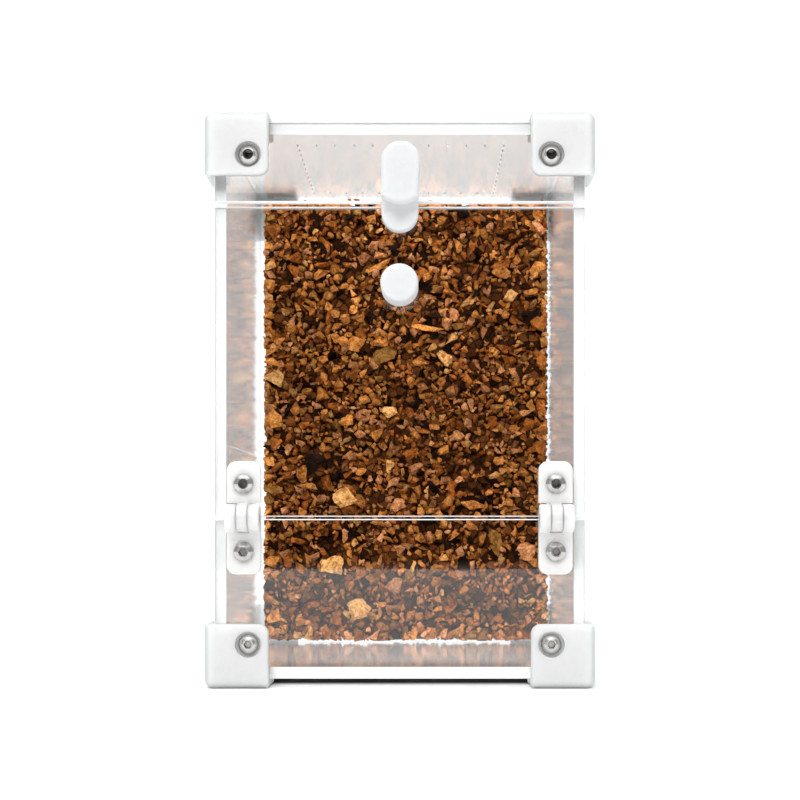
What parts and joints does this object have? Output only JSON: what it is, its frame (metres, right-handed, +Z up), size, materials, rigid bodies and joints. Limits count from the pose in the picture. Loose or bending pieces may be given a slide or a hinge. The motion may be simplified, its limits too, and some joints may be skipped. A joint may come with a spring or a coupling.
{
  "type": "ant habitat",
  "caption": "Small clear acrylic enclosure for ants with white corner brackets, a drop-down front door on two small hinges, a knob, a magnetic catch, vent holes and a cork back wall.",
  "frame": {"origin": "centre of the footprint (knob included), on the surface that the four lower brackets stand on", "axes": "+Z up, the door faces -Y, +X to the right when looking at the door"},
  "size_m": [0.105, 0.1014, 0.155],
  "materials": {
    "clear_acrylic": "clear, polished faces, laser-cut edges",
    "white_bracket_plastic": "white, satin",
    "white_fitting_plastic": "white, satin",
    "hinge_plastic": "natural nylon, slightly see-through",
    "fastener_steel": "plain steel",
    "pin_steel": "drawn wire",
    "magnet_nickel": "nickel plated",
    "cork": "pressed cork granules"
  },
  "bodies": {
    "root": {"back_panel": "clear_acrylic", "bottom_panel": "clear_acrylic", "bracket_front_left_bottom": "white_bracket_plastic", "bracket_front_left_top": "white_bracket_plastic", "bracket_front_right_bottom": "white_bracket_plastic", "bracket_front_right_top": "white_bracket_plastic", "bracket_nuts": "fastener_steel", "bracket_rear_left_bottom": "white_bracket_plastic", "bracket_rear_left_top": "white_bracket_plastic", "bracket_rear_right_bottom": "white_bracket_plastic", "bracket_rear_right_top": "white_bracket_plastic", "bracket_screws": "fastener_steel", "cork_wall": "cork", "hinge_nuts_fixed": "fastener_steel", "hinge_screws_fixed": "fastener_steel", "keeper_magnet": "magnet_nickel", "left_hinge_fixed_leaf": "hinge_plastic", "left_hinge_pin": "pin_steel", "left_panel": "clear_acrylic", "lower_front_panel": "clear_acrylic", "right_hinge_fixed_leaf": "hinge_plastic", "right_hinge_pin": "pin_steel", "right_panel": "clear_acrylic", "top_panel": "clear_acrylic", "upper_front_panel": "clear_acrylic"},
    "door": {"door_panel": "clear_acrylic", "door_knob": "white_fitting_plastic", "knob_screw": "fastener_steel", "door_catch": "white_fitting_plastic", "catch_screw": "fastener_steel", "catch_magnet": "magnet_nickel", "left_hinge_door_leaf": "hinge_plastic", "right_hinge_door_leaf": "hinge_plastic", "hinge_screws_door": "fastener_steel", "hinge_nuts_door": "fastener_steel"}
  },
  "joints": [
    {"name": "door_swing", "type": "hinge", "parent": "root", "child": "door", "pos_m": [0, -0.04465, 0.0458], "axis": [1, 0, 0], "range_deg": [0, 114]}
  ]
}
